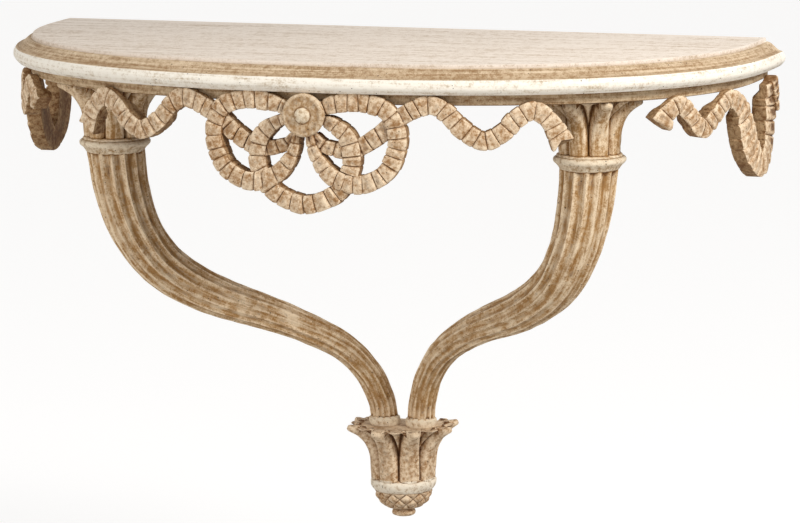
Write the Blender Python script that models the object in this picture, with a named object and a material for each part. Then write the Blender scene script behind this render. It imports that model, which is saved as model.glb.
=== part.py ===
"""A carved wall console: a half-round moulded top on two S-shaped fluted legs that stand in a leaf cup,
with a carved bow and ribbons along its edge.

Metres, +Z up, the wall at y = 0 and the front towards -Y. The origin is the middle of the slab's flat back.
"""
import math

import bmesh
import bpy
import numpy as np
from mathutils import Vector

# Plan of the top
WIDTH = 1.200
DEPTH = 0.492
SQUARENESS = 2.277          # exponent of the rounded plan: 2 would be a half ellipse
WALL_STRAIGHT = 0.055       # length of straight edge beside the wall
EDGE_STEPS = 38
OUTLINE_POINTS = 1500       # of the curve that the plan is measured on
CURVE_SPLIT = 24            # pieces between two points of a route, before it is resampled
LENGTH_STEPS = 200          # pieces that a route's length is measured on
POINT_SLACK = 1e-7          # points closer than this are one
WELD_SLACK = 0.00005

# Slab edge, from the top down
SLAB_THICKNESS = 0.0425
FIELD_INSET = 0.0305
FILLET_DROP = 0.006
RIM_HEIGHT = 0.0228
RIM_SETBACK = 0.005         # how far the rim's upper arris stands behind its bulge
RIM_UNDER_INSET = 0.008
LEDGE = 0.002               # flat step between the fillet and the ogee

# Board under the slab
BOARD_THICKNESS = 0.0172
BOARD_INSET = 0.0275
GAP = 0.0003                # between pieces that touch

# Ribbons
RIBBON_WIDTH = 0.0265
RIBBON_INSET = 0.0105       # of its outer face from the slab's bulge
RIBBON_UNDERCUT = 0.010     # how much thicker a ribbon is below the board
UNDERCUT_CLEAR = 0.008      # below the board, before a ribbon starts to thicken
UNDERCUT_EASE = 0.010
RIBBON_DOME = 0.0025
PLEAT_PITCH = 0.0202
PLEAT_DEPTH = 0.0020
CREASE_PINCH = 0.0006       # how much narrower a ribbon is on each side of a crease
SINK_EASE = 0.03
BACK_CLEAR = 0.001
LOOP_SUNK = 0.0003          # how far each strand of the bow lies behind the ribbon line
LOBE_SUNK = 0.0022
SWAG_SUNK = 0.0050
SWAG_SINK_UNTIL = 0.165     # the swag comes forward once it is clear of the bow
TAIL_PROUD = 0.004
KNOT_SUNK = 0.0005

# Rosette on the knot
ROSETTE_RADIUS = 0.032
ROSETTE_SHIFT = 0.005       # the carver set it a little right of the middle
ROSETTE_THICKNESS = 0.012
BUTTON_RADIUS = 0.0115
BUTTON_RISE = 0.006
ROSETTE_SIDES = 24
KNOT_SIDES = 14

# Legs
LEG_SHARE = 0.524           # where a capital stands, as a share of the edge from its middle to the wall
CAPITAL_MARGIN = 0.0318     # from a leaf tip out to the slab's bulge
LEG_TOP_RADIUS = 0.0445
FOOT_SPREAD = 0.0300
FOOT_RADIUS = 0.0212
FOOT_RING_RADIUS = 0.0245
FOOT_RING_HEIGHT = 0.012
FOOT_STEP = 0.0002          # from the shaft's end down to the ring on its foot
FLUTES = 14
LEG_STEPS = 15
FLUTE_SHARE = 0.085         # flute depth as a share of the leg's radius
CAPITAL_HEIGHT = 0.087
CAPITAL_NECK_RADIUS = 0.0430
CAPITAL_TIP_RADIUS = 0.0830
COLLAR_RADIUS = 0.0540
COLLAR_HEIGHT = 0.020
LEAVES = 8
CAPITAL_TURNS = {"left": 22.5, "right": -8.0}    # degrees from +X to the first leaf

# Leaf cup
CUP_FORWARD = 0.047         # from the wall to its axis
CUP_FLOOR_DROP = 0.617      # from the slab's top to the floor that the legs stand on
CUP_HEIGHT = 0.083          # from that floor to the band
CUP_LIP = 0.004             # of the leaf tips above that floor
CUP_TIP_RADIUS = 0.0880
CUP_BODY_RADIUS = 0.0480
BAND_RADIUS = 0.0515
BAND_HEIGHT = 0.019
ACORN_RADIUS = 0.0470
ACORN_HEIGHT = 0.029
KNOB_RADIUS = 0.0190
KNOB_HEIGHT = 0.013

# Carved leaves of the capitals and the cup
DART_DEPTH = 0.0055         # of the groove between two leaves
TIP_NOTCH = 0.0045          # how much deeper that groove is between the tips

# Outer line of a crown of leaves: share of the height, share of the flare
CROWN_LINE = [(0.02, 0.00), (0.38, 0.06), (0.55, 0.15), (0.70, 0.32), (0.82, 0.56), (0.895, 0.80),
              (0.955, 1.00), (0.99, 0.97)]

# Levels worked out from the sizes above
TOP_Z = SLAB_THICKNESS / 2
SLAB_UNDER_Z = -SLAB_THICKNESS / 2
BOARD_TOP_Z = SLAB_UNDER_Z - GAP
BOARD_UNDER_Z = BOARD_TOP_Z - BOARD_THICKNESS
CAPITAL_TOP_Z = BOARD_UNDER_Z - GAP
COLLAR_Z = CAPITAL_TOP_Z - CAPITAL_HEIGHT - COLLAR_HEIGHT / 2
ROSETTE_Z = SLAB_UNDER_Z - ROSETTE_RADIUS - 2 * GAP
KNOT_RADIUS = 0.8 * ROSETTE_RADIUS
CUP_FLOOR_Z = TOP_Z - CUP_FLOOR_DROP
LEG_FOOT_Z = CUP_FLOOR_Z + GAP

# Curve of a leg, as shares: down from the collar, out sideways, out from the wall, thickness
LEG_CURVE = [
    (0.00, 1.000, 1.000, 1.00),
    (0.16, 0.974, 0.987, 0.89),
    (0.30, 0.920, 0.948, 0.76),
    (0.43, 0.816, 0.852, 0.63),
    (0.53, 0.642, 0.697, 0.48),
    (0.63, 0.367, 0.436, 0.20),
    (0.73, 0.170, 0.202, 0.05),
    (0.83, 0.065, 0.082, 0.00),
    (0.93, 0.014, 0.017, 0.00),
    (1.00, 0.000, 0.000, 0.00),
]

# Ribbon routes, drawn on an apron whose edge measures ROUTE_EDGE from its middle to the wall: metres along
# the edge, metres below the slab, and the width as a share of the ribbon's full width
ROUTE_EDGE = 0.8775
OUTER_LOOP = [(0.020, 0.0275, 0.60), (0.050, 0.0165, 0.95), (0.090, 0.0140, 1.0), (0.128, 0.0255, 1.0),
              (0.144, 0.0625, 1.0), (0.132, 0.1065, 1.0), (0.108, 0.1275, 1.0), (0.078, 0.1345, 1.0),
              (0.042, 0.1220, 0.95), (0.018, 0.0920, 0.65), (0.009, 0.0615, 0.40)]
INNER_LOBE = [(0.018, 0.0375, 0.40), (0.044, 0.0465, 0.75), (0.068, 0.0680, 1.0), (0.0735, 0.1055, 1.0),
              (0.055, 0.1425, 1.0), (0.030, 0.1590, 1.0), (0.000, 0.1665, 1.0)]
SWAG = [(0.014, 0.0635, 0.50), (0.032, 0.0795, 0.70), (0.072, 0.0845, 0.90), (0.112, 0.0635, 1.0),
        (0.150, 0.0325, 1.0), (0.190, 0.0155, 1.0), (0.215, 0.0260, 1.0), (0.238, 0.0500, 1.0),
        (0.270, 0.0680, 1.0), (0.300, 0.0550, 1.0), (0.318, 0.0360, 1.0), (0.345, 0.0240, 1.0),
        (0.370, 0.0430, 1.0), (0.388, 0.0760, 1.30)]
SIDE_RIBBON = [(0.541, 0.0540, 1.45), (0.554, 0.0360, 1.05), (0.576, 0.0265, 1.0), (0.600, 0.0480, 1.0),
               (0.622, 0.0660, 1.0), (0.650, 0.0470, 1.0), (0.684, 0.0280, 1.0), (0.718, 0.0440, 1.3),
               (0.735, 0.0780, 1.8), (0.756, 0.1120, 1.8), (0.793, 0.1385, 1.4), (0.828, 0.1200, 1.7),
               (0.841, 0.0850, 1.9), (0.845, 0.0450, 1.9), (0.842, 0.0200, 1.5)]
WALL_TAIL = [(0.852, 0.0160, 0.9), (0.860, 0.0380, 0.8), (0.866, 0.0660, 0.3)]


def clear_scene():
    for thing in list(bpy.data.objects):
        bpy.data.objects.remove(thing)


def collection(name):
    group = bpy.data.collections.new(name)
    bpy.context.scene.collection.children.link(group)
    return group


def paint(name, colour, roughness):
    material = bpy.data.materials.new(name)
    material.use_nodes = True
    shader = material.node_tree.nodes["Principled BSDF"]
    shader.inputs["Base Color"].default_value = (*colour, 1.0)
    shader.inputs["Roughness"].default_value = roughness
    shader.inputs["Metallic"].default_value = 0.0
    material.diffuse_color = (*colour, 1.0)
    return material


def put(name, mesh, group, colour, roughness=0.7):
    """Link a mesh as a named object with a material of its own."""
    thing = bpy.data.objects.new(name, mesh)
    group.objects.link(thing)
    mesh.materials.append(paint(name + "_finish", colour, roughness))
    return thing


def loft(name, rings):
    """A closed mesh through rings of equal point count, capped flat at both ends."""
    shape = bmesh.new()
    loops = [[shape.verts.new(point) for point in ring] for ring in rings]
    count = len(loops[0])
    for lower, upper in zip(loops, loops[1:]):
        for i in range(count):
            j = (i + 1) % count
            shape.faces.new((lower[i], lower[j], upper[j], upper[i]))
    shape.faces.new(loops[0][::-1])
    shape.faces.new(loops[-1])
    bmesh.ops.recalc_face_normals(shape, faces=shape.faces)
    mesh = bpy.data.meshes.new(name)
    shape.to_mesh(mesh)
    shape.free()
    return mesh


def smooth_path(points, steps):
    """Catmull-Rom curve through rows of numbers, resampled at even steps of its first two columns."""
    rows = np.array(points, dtype=float)
    rows = np.vstack([2 * rows[0] - rows[1], rows, 2 * rows[-1] - rows[-2]])
    fine = []
    for a, b, c, d in zip(rows, rows[1:], rows[2:], rows[3:]):
        for t in np.linspace(0, 1, CURVE_SPLIT, endpoint=False):
            fine.append(0.5 * (2 * b + (c - a) * t + (2 * a - 5 * b + 4 * c - d) * t ** 2
                               + (3 * b - a - 3 * c + d) * t ** 3))
    fine = np.array(fine + [rows[-2]])
    run = np.r_[0, np.cumsum(np.hypot(*np.diff(fine[:, :2], axis=0).T))]
    even = np.linspace(0, run[-1], steps + 1)
    return np.array([np.interp(even, run, column) for column in fine.T]).T


def path_length(points):
    path = smooth_path(points, LENGTH_STEPS)
    return float(np.hypot(*np.diff(path[:, :2], axis=0).T).sum())


class EdgeLine:
    """The plan curve of the top, moved inwards, measured along from its middle."""

    def __init__(self, inset):
        angle = np.linspace(0, math.pi, OUTLINE_POINTS)
        cos, sin = np.cos(angle), np.sin(angle)
        x = WIDTH / 2 * np.sign(cos) * np.abs(cos) ** (2 / SQUARENESS)
        y = -WALL_STRAIGHT - (DEPTH - WALL_STRAIGHT) * np.abs(sin) ** (2 / SQUARENESS)
        x, y = np.r_[WIDTH / 2, x, -WIDTH / 2], np.r_[0, y, 0]
        step = np.hypot(np.diff(x), np.diff(y))
        keep = np.r_[True, step > POINT_SLACK]
        x, y = x[keep], y[keep]
        run = np.r_[0, np.cumsum(np.hypot(np.diff(x), np.diff(y)))]
        dx, dy = np.gradient(x, run), np.gradient(y, run)
        size = np.hypot(dx, dy)
        self.out_x, self.out_y = -dy / size, dx / size
        self.x, self.y = x - self.out_x * inset, y - self.out_y * inset
        run = np.r_[0, np.cumsum(np.hypot(np.diff(self.x), np.diff(self.y)))]
        self.along = run[-1] / 2 - run
        self.half = run[-1] / 2

    def at(self, along, deeper=0.0):
        """The plan point at a distance along, and deeper inwards."""
        def read(column):
            return float(np.interp(-along, -self.along, column))
        x, y = read(self.x), read(self.y)
        return x - read(self.out_x) * deeper, min(0.0, y - read(self.out_y) * deeper)


EDGE = EdgeLine(0.0)
RIBBON_LINE = EdgeLine(RIBBON_INSET)
LEG_SPREAD, LEG_FORWARD_Y = EDGE.at(EDGE.half * LEG_SHARE, CAPITAL_TIP_RADIUS + CAPITAL_MARGIN)


def plan_ring(inset, z):
    """The half-round outline at one height, from the wall at +X round to the wall at -X."""
    stations = np.linspace(EDGE.half, -EDGE.half, EDGE_STEPS + 1)
    return [Vector((*EDGE.at(along, inset), z)) for along in stations]


def slab_profile():
    """Inset and height of the moulded edge, from the top down: fillet, ogee, rounded rim."""
    fillet_z = TOP_Z - FILLET_DROP
    rim_top_z = SLAB_UNDER_Z + RIM_HEIGHT
    profile = [(FIELD_INSET, TOP_Z), (FIELD_INSET, fillet_z)]
    for share in (0.3, 0.65, 1.0):
        swing = 0.5 - 0.5 * math.cos(math.pi * share)
        profile.append((FIELD_INSET - LEDGE - (FIELD_INSET - LEDGE - RIM_SETBACK) * share,
                        fillet_z - (fillet_z - rim_top_z) * swing))
    for share in (0.2, 0.45, 0.75):
        bulge = math.sin(math.pi * min(1.0, share + 0.05))
        profile.append((RIM_SETBACK * (1 - bulge), rim_top_z - RIM_HEIGHT * share))
    profile.append((RIM_UNDER_INSET, SLAB_UNDER_Z))
    return profile


def make_slab(group):
    rings = [plan_ring(inset, z) for inset, z in slab_profile()]
    return put("top_slab", loft("top_slab", rings), group, (0.80, 0.72, 0.62))


def make_board(group):
    outline = bpy.data.curves.new("board_outline", "CURVE")
    outline.dimensions = "2D"
    outline.fill_mode = "BOTH"
    outline.extrude = BOARD_THICKNESS / 2
    spline = outline.splines.new("POLY")
    ring = plan_ring(BOARD_INSET, 0.0)
    spline.points.add(len(ring) - 1)
    for point, place in zip(spline.points, ring):
        point.co = (place.x, place.y, 0.0, 1.0)
    spline.use_cyclic_u = True
    flat = bpy.data.objects.new("board_outline", outline)
    group.objects.link(flat)
    flat.location.z = BOARD_TOP_Z - BOARD_THICKNESS / 2
    bpy.context.view_layer.update()
    mesh = bpy.data.meshes.new_from_object(flat.evaluated_get(bpy.context.evaluated_depsgraph_get()))
    shape = bmesh.new()
    shape.from_mesh(mesh)
    bmesh.ops.remove_doubles(shape, verts=shape.verts, dist=WELD_SLACK)
    bmesh.ops.recalc_face_normals(shape, faces=shape.faces)
    shape.to_mesh(mesh)
    shape.free()
    board = put("apron_board", mesh, group, (0.62, 0.50, 0.36))
    board.matrix_world = flat.matrix_world
    bpy.data.objects.remove(flat)
    return board


def ribbon_back(low):
    """Depth of a ribbon's back, given its highest point: it clears the board, and is thicker below it."""
    over_board = BOARD_INSET - RIBBON_INSET - BACK_CLEAR
    below = BOARD_UNDER_Z - UNDERCUT_CLEAR - (SLAB_UNDER_Z - low)
    return over_board + RIBBON_UNDERCUT * min(1.0, max(0.0, below / UNDERCUT_EASE))


def strand(name, route, side=1, sunk=0.0, sink_until=math.inf):
    """One stretch of pleated ribbon bent round the apron, its face sunk behind the ribbon line.

    Past sink_until along the edge the face comes forward to the ribbon line.
    """
    length = path_length(route)
    pleats = max(2, round(length / PLEAT_PITCH))
    path = smooth_path(route, 2 * pleats)
    slope = np.gradient(path, axis=0)
    stretch = RIBBON_LINE.half / ROUTE_EDGE
    rings = []
    for i, ((along, low, share), (along_step, low_step, _)) in enumerate(zip(path, slope)):
        crease = i % 2 == 1
        half = RIBBON_WIDTH / 2 * share - (CREASE_PINCH if crease else 0.0)
        size = math.hypot(along_step, low_step)
        across = (-low_step / size, along_step / size)
        face = sunk * min(1.0, max(0.0, (sink_until - along) / SINK_EASE))
        if crease:
            face += PLEAT_DEPTH
        edge = face + RIBBON_DOME
        back = ribbon_back(low - abs(across[1]) * half)
        ring = []
        for reach, depth in ((-1, back), (-1, edge), (0, face), (1, edge), (1, back)):
            place = min((along + across[0] * half * reach) * stretch, RIBBON_LINE.half)
            height = SLAB_UNDER_Z - max(low + across[1] * half * reach, 2 * GAP)
            ring.append(Vector((*RIBBON_LINE.at(side * place, depth), height)))
        rings.append(ring)
    return loft(name, rings)


def tool(name, mesh, group):
    """A helper solid that a Boolean reads: drawn as wire and never rendered."""
    thing = bpy.data.objects.new(name, mesh)
    group.objects.link(thing)
    thing.hide_render = True
    thing.display_type = "WIRE"
    return thing


def boolean(target, other, operation):
    step = target.modifiers.new(other.name, "BOOLEAN")
    step.operation = operation
    step.solver = "EXACT"
    step.object = other


def knot_block():
    """The lump behind the rosette where all the strands meet."""
    front = -(DEPTH - RIBBON_INSET) + KNOT_SUNK
    back = -(DEPTH - BOARD_INSET) - BACK_CLEAR
    rings = []
    for y in (front, back):
        ring = []
        for a in np.linspace(0, 2 * math.pi, KNOT_SIDES, endpoint=False):
            x, z = KNOT_RADIUS * math.cos(a), KNOT_RADIUS * math.sin(a)
            ring.append(Vector((ROSETTE_SHIFT + x, y, ROSETTE_Z + z)))
        rings.append(ring)
    return loft("knot", rings)


def make_front_ribbon(group, tools):
    bow = put("ribbon_front", knot_block(), group, (0.55, 0.42, 0.27))
    lobe = INNER_LOBE + [(-along, low, share) for along, low, share in INNER_LOBE[-2::-1]]
    strands = [("inner_lobe", strand("inner_lobe", lobe, sunk=LOBE_SUNK))]
    for side, word in ((-1, "left"), (1, "right")):
        loop = strand("outer_loop", OUTER_LOOP, side, sunk=LOOP_SUNK)
        swag = strand("swag", SWAG, side, sunk=SWAG_SUNK, sink_until=SWAG_SINK_UNTIL)
        strands += [("outer_loop_" + word, loop), ("swag_" + word, swag)]
    for name, mesh in strands:
        boolean(bow, tool(name, mesh, tools), "UNION")
    return bow


def make_side_ribbon(side, word, group, tools):
    body = strand("side", SIDE_RIBBON, side, sunk=LOOP_SUNK)
    ribbon = put("ribbon_side_" + word, body, group, (0.58, 0.45, 0.30))
    tail = strand("wall_tail", WALL_TAIL, side, sunk=-TAIL_PROUD)
    boolean(ribbon, tool("wall_tail_" + word, tail, tools), "UNION")
    return ribbon


def turned(name, profile, segments, centre, facing_front=False):
    """A turned solid from a profile of radius and height, its axis along Z or towards the front."""
    rings = []
    for radius, height in profile:
        ring = []
        for a in np.linspace(0, 2 * math.pi, segments, endpoint=False):
            x, y, z = radius * math.cos(a), radius * math.sin(a), height
            if facing_front:
                x, y, z = x, -z, y
            ring.append(Vector((x, y, z)) + Vector(centre))
        rings.append(ring)
    return loft(name, rings)


def make_rosette(group):
    body, rise = ROSETTE_THICKNESS, BUTTON_RISE
    profile = [(ROSETTE_RADIUS * 0.94, 0.0), (ROSETTE_RADIUS, body * 0.35),
               (ROSETTE_RADIUS * 0.95, body * 0.75), (ROSETTE_RADIUS * 0.80, body),
               (ROSETTE_RADIUS * 0.72, body * 0.92),
               (BUTTON_RADIUS * 1.35, body * 0.78), (BUTTON_RADIUS, body * 0.80),
               (BUTTON_RADIUS * 0.9, body + rise * 0.55), (BUTTON_RADIUS * 0.45, body + rise)]
    back_y = -(DEPTH - RIBBON_INSET) - GAP
    mesh = turned("rosette", profile, ROSETTE_SIDES, (ROSETTE_SHIFT, back_y, ROSETTE_Z), facing_front=True)
    return put("rosette", mesh, group, (0.66, 0.55, 0.42))


def leaf_wave(angle, first):
    """1 on the middle of a leaf, 0 in the dart between two leaves."""
    return abs(math.cos((angle - first) * LEAVES / 2)) ** 0.6


def leaf_rings(levels, centre, first):
    """Rings of a leafy body: height, radius in the darts, radius on the leaves."""
    rings = []
    for z, dart, leaf in levels:
        ring = []
        for k in range(4 * LEAVES):
            angle = first + 2 * math.pi * k / (4 * LEAVES)
            radius = dart + (leaf - dart) * leaf_wave(angle, first)
            x, y = radius * math.cos(angle), radius * math.sin(angle)
            ring.append(Vector((centre[0] + x, centre[1] + y, z)))
        rings.append(ring)
    return rings


def crown_levels(base, height, neck, tip):
    """A flaring crown of leaves, from its neck up to its lip."""
    levels = []
    for up, out in CROWN_LINE:
        leaf = neck + (tip - neck) * out
        levels.append((base + height * up, leaf - DART_DEPTH - TIP_NOTCH * out, leaf))
    return levels


def capital_levels():
    """Collar and capital from below the collar up to the flat top."""
    neck, tip = CAPITAL_NECK_RADIUS, CAPITAL_TIP_RADIUS
    low = COLLAR_Z - COLLAR_HEIGHT / 2
    levels = [(low, LEG_TOP_RADIUS * 0.85, LEG_TOP_RADIUS * 0.85)]
    for share in (0.12, 0.5, 0.88):
        round_out = math.sqrt(1 - (2 * share - 1) ** 2)
        radius = LEG_TOP_RADIUS + (COLLAR_RADIUS - LEG_TOP_RADIUS) * round_out
        levels.append((low + COLLAR_HEIGHT * share, radius, radius))
    levels += crown_levels(CAPITAL_TOP_Z - CAPITAL_HEIGHT, CAPITAL_HEIGHT, neck, tip)
    levels.append((CAPITAL_TOP_Z, neck + (tip - neck) * 0.68, neck + (tip - neck) * 0.88))
    return levels


def make_leg(side, word, group, tools):
    """One fluted leg: a swept body, with its collar and capital joined on."""
    top_z, foot_z = COLLAR_Z, LEG_FOOT_Z + FOOT_RING_HEIGHT
    rows = []
    for down, out, forward, thick in LEG_CURVE:
        rows.append((FOOT_SPREAD + (LEG_SPREAD - FOOT_SPREAD) * out, top_z + (foot_z - top_z) * down,
                     -CUP_FORWARD + (LEG_FORWARD_Y + CUP_FORWARD) * forward,
                     FOOT_RADIUS + (LEG_TOP_RADIUS - FOOT_RADIUS) * thick))
    path = smooth_path(rows, LEG_STEPS)
    points = [Vector((x, y, z)) for x, z, y, _ in path]
    radii = [row[3] for row in path]
    rings = []
    across = Vector((1, 0, 0))
    for i, (centre, radius) in enumerate(zip(points, radii)):
        ahead = points[min(i + 1, len(points) - 1)] - points[max(i - 1, 0)]
        if i in (0, len(points) - 1):
            ahead = Vector((0, 0, -1))
        ahead.normalize()
        across = (across - ahead * across.dot(ahead)).normalized()
        other = ahead.cross(across)
        ring = []
        for k in range(2 * FLUTES):
            angle = math.pi * k / FLUTES
            reach = radius * (1 - (FLUTE_SHARE if k % 2 else 0))
            ring.append(centre + across * (reach * math.cos(angle)) + other * (reach * math.sin(angle)))
        rings.append(ring)
    foot = points[-1]
    for share, radius in ((0.0, FOOT_RADIUS * 0.98), (0.12, FOOT_RING_RADIUS), (0.85, FOOT_RING_RADIUS),
                          (1.0, FOOT_RING_RADIUS * 0.95)):
        drop = FOOT_STEP + (FOOT_RING_HEIGHT - FOOT_STEP) * share
        ring = []
        for k in range(2 * FLUTES):
            angle = math.pi * k / FLUTES
            ring.append(foot + Vector((radius * math.cos(angle), -radius * math.sin(angle), -drop)))
        rings.append(ring)
    if side < 0:
        rings = [[Vector((-p.x, p.y, p.z)) for p in ring] for ring in rings]
    colour = (0.56, 0.43, 0.28)
    leg = put("leg_" + word, loft("leg_" + word, rings), group, colour)
    first_leaf = math.radians(CAPITAL_TURNS[word])
    capital = loft("capital", leaf_rings(capital_levels(), (side * LEG_SPREAD, LEG_FORWARD_Y), first_leaf))
    boolean(leg, tool("capital_" + word, capital, tools), "UNION")
    return leg


def cup_levels():
    """The leaf cup from its floor over the leaf tips, down to the knob."""
    body, tip = CUP_BODY_RADIUS, CUP_TIP_RADIUS
    flare = tip - body
    floor, tall = CUP_FLOOR_Z, CUP_HEIGHT
    levels = [(floor, body + flare * 0.28, body + flare * 0.28),
              (floor + CUP_LIP * 0.25, body + flare * 0.48, body + flare * 0.48),
              (floor + CUP_LIP, body + flare * 0.66, body + flare * 0.86)]
    levels += crown_levels(floor - tall, tall + CUP_LIP, body, tip)[::-1]
    band_top = floor - tall
    for share, swell in ((0.03, 0.94), (0.2, 1.0), (0.8, 1.0), (0.97, 0.94)):
        levels.append((band_top - BAND_HEIGHT * share, BAND_RADIUS * swell, BAND_RADIUS * swell))
    acorn_top = band_top - BAND_HEIGHT
    for share in (0.03, 0.35, 0.62, 0.84, 0.97):
        radius = KNOB_RADIUS + (ACORN_RADIUS - KNOB_RADIUS) * math.sqrt(1 - share ** 2)
        levels.append((acorn_top - ACORN_HEIGHT * share, radius, radius))
    knob_top = acorn_top - ACORN_HEIGHT
    for share, swell in ((0.05, 0.88), (0.40, 1.0), (0.75, 0.86), (1.0, 0.50)):
        levels.append((knob_top - KNOB_HEIGHT * share, KNOB_RADIUS * swell, KNOB_RADIUS * swell))
    return levels


def make_cup(group, tools):
    """The leaf cup, cut flat where it stands against the wall."""
    first = math.pi / LEAVES
    body = loft("cup", leaf_rings(cup_levels(), (0.0, -CUP_FORWARD), first))
    cup = put("cup", body, group, (0.60, 0.48, 0.33))
    reach = 2 * CUP_TIP_RADIUS
    bpy.ops.mesh.primitive_cube_add(size=1.0, location=(0, reach / 2, CUP_FLOOR_Z),
                                    scale=(2 * reach, reach, 4 * reach))
    wall = bpy.context.active_object
    wall.name = "wall_cut"
    for owner in list(wall.users_collection):
        owner.objects.unlink(wall)
    tools.objects.link(wall)
    wall.hide_render = True
    wall.display_type = "WIRE"
    boolean(cup, wall, "DIFFERENCE")
    return cup


def build():
    clear_scene()
    group = collection("carved_wall_console")
    tools = collection("cutters")
    make_slab(group)
    make_board(group)
    make_front_ribbon(group, tools)
    for side, word in ((-1, "left"), (1, "right")):
        make_side_ribbon(side, word, group, tools)
        make_leg(side, word, group, tools)
    make_rosette(group)
    make_cup(group, tools)


build()
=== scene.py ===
import math
import random

import bmesh
import bpy
import numpy as np
from mathutils import Matrix, Vector, kdtree, noise


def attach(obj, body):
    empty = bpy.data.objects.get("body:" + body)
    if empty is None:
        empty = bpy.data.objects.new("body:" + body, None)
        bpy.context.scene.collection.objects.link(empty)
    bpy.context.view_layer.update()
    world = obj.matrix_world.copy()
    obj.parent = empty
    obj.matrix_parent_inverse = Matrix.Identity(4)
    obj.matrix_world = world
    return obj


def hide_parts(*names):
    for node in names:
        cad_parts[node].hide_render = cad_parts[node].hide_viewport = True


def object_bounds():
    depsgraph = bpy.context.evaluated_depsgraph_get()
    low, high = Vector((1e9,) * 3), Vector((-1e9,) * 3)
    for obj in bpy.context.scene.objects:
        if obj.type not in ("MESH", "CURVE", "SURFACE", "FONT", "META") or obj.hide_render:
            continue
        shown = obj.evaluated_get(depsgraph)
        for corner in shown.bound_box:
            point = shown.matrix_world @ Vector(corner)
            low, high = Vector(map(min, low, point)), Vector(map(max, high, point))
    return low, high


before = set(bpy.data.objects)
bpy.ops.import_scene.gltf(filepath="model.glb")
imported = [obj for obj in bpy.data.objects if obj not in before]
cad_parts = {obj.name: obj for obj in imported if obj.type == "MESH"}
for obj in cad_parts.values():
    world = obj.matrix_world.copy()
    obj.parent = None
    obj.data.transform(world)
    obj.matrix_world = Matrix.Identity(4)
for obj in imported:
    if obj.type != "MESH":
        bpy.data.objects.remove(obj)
CAD_BOX = [[float(value) for value in corner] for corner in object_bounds()]

# Plan and edge of the top, in metres
WIDTH = 1.200
DEPTH = 0.492
SQUARENESS = 2.277
WALL_STRAIGHT = 0.055
SLAB_THICKNESS = 0.0425
FIELD_INSET = 0.0305
FILLET_DROP = 0.006
RIM_HEIGHT = 0.0228
RIM_SETBACK = 0.005
RIM_UNDER_INSET = 0.008
LEDGE = 0.002
BOARD_THICKNESS = 0.0172
BOARD_INSET = 0.0275
GAP = 0.0003

# Ribbons
RIBBON_WIDTH = 0.0275
RIBBON_INSET = 0.0105
RIBBON_UNDERCUT = 0.010
UNDERCUT_CLEAR = 0.008
UNDERCUT_EASE = 0.010
BACK_CLEAR = 0.001
PLEAT_PITCH = 0.0176
PLEAT_DEPTH = 0.0034
DOME = 0.0020
EDGE_ROLL = 0.0010
SCALLOP = 0.0013
ROUTE_EDGE = 0.8775
SINK_EASE = 0.03

# Rosette
ROSETTE_RADIUS = 0.032
ROSETTE_SHIFT = 0.005
ROSETTE_THICKNESS = 0.012
BUTTON_RADIUS = 0.0115
BUTTON_RISE = 0.006

# Legs and capitals
LEG_SHARE = 0.524
LEG_INSET = 0.1148
LEG_TOP_RADIUS = 0.0445
FOOT_SPREAD = 0.0300
FOOT_RADIUS = 0.0212
FOOT_RING_RADIUS = 0.0245
FOOT_RING_HEIGHT = 0.012
FLUTES = 14
FLUTE_DEPTH = 0.105
CAPITAL_HEIGHT = 0.087
CAPITAL_NECK_RADIUS = 0.0430
CAPITAL_TIP_RADIUS = 0.0850
COLLAR_RADIUS = 0.0540
COLLAR_HEIGHT = 0.020
LEAVES = 8
CAPITAL_TURNS = {"left": 22.5, "right": -8.0}

# Leaf cup
CUP_FORWARD = 0.047
CUP_FLOOR_DROP = 0.617
CUP_HEIGHT = 0.083
CUP_LIP = 0.0040
CUP_TURN = 32.0
CUP_TIP_RADIUS = 0.0880
CUP_BODY_RADIUS = 0.0480
BAND_RADIUS = 0.0515
BAND_HEIGHT = 0.019
ACORN_RADIUS = 0.0470
ACORN_HEIGHT = 0.029
KNOB_RADIUS = 0.0190
KNOB_HEIGHT = 0.013

# Levels worked out from the sizes above
TOP_Z = SLAB_THICKNESS / 2
SLAB_UNDER_Z = -SLAB_THICKNESS / 2
FILLET_Z = TOP_Z - FILLET_DROP
RIM_TOP_Z = SLAB_UNDER_Z + RIM_HEIGHT
BOARD_TOP_Z = SLAB_UNDER_Z - GAP
BOARD_UNDER_Z = BOARD_TOP_Z - BOARD_THICKNESS
CAPITAL_TOP_Z = BOARD_UNDER_Z - GAP
CAPITAL_BASE_Z = CAPITAL_TOP_Z - CAPITAL_HEIGHT
COLLAR_Z = CAPITAL_BASE_Z - COLLAR_HEIGHT / 2
ROSETTE_Z = SLAB_UNDER_Z - ROSETTE_RADIUS - 2 * GAP
CUP_FLOOR_Z = TOP_Z - CUP_FLOOR_DROP
LEG_FOOT_Z = CUP_FLOOR_Z + GAP
BAND_TOP_Z = CUP_FLOOR_Z - CUP_HEIGHT
ACORN_TOP_Z = BAND_TOP_Z - BAND_HEIGHT
KNOB_TOP_Z = ACORN_TOP_Z - ACORN_HEIGHT

# Fineness of the meshes
OUTLINE_POINTS = 1500
PLAN_POINTS = 361
CURVE_SPLIT = 24
ROUTE_STEPS = 600
LEG_STEPS = 130
POINTS_PER_FLUTE = 10
CROWN_STEPS = 44
POINTS_PER_LEAF = 26

# How far a leaf crown sinks into the moulding under it, and what counts as the same level or the same point
LAP = 0.001
LEVEL_SLACK = 0.0002
POINT_SLACK = 1e-7
WALL_SLACK = 1e-5

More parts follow.
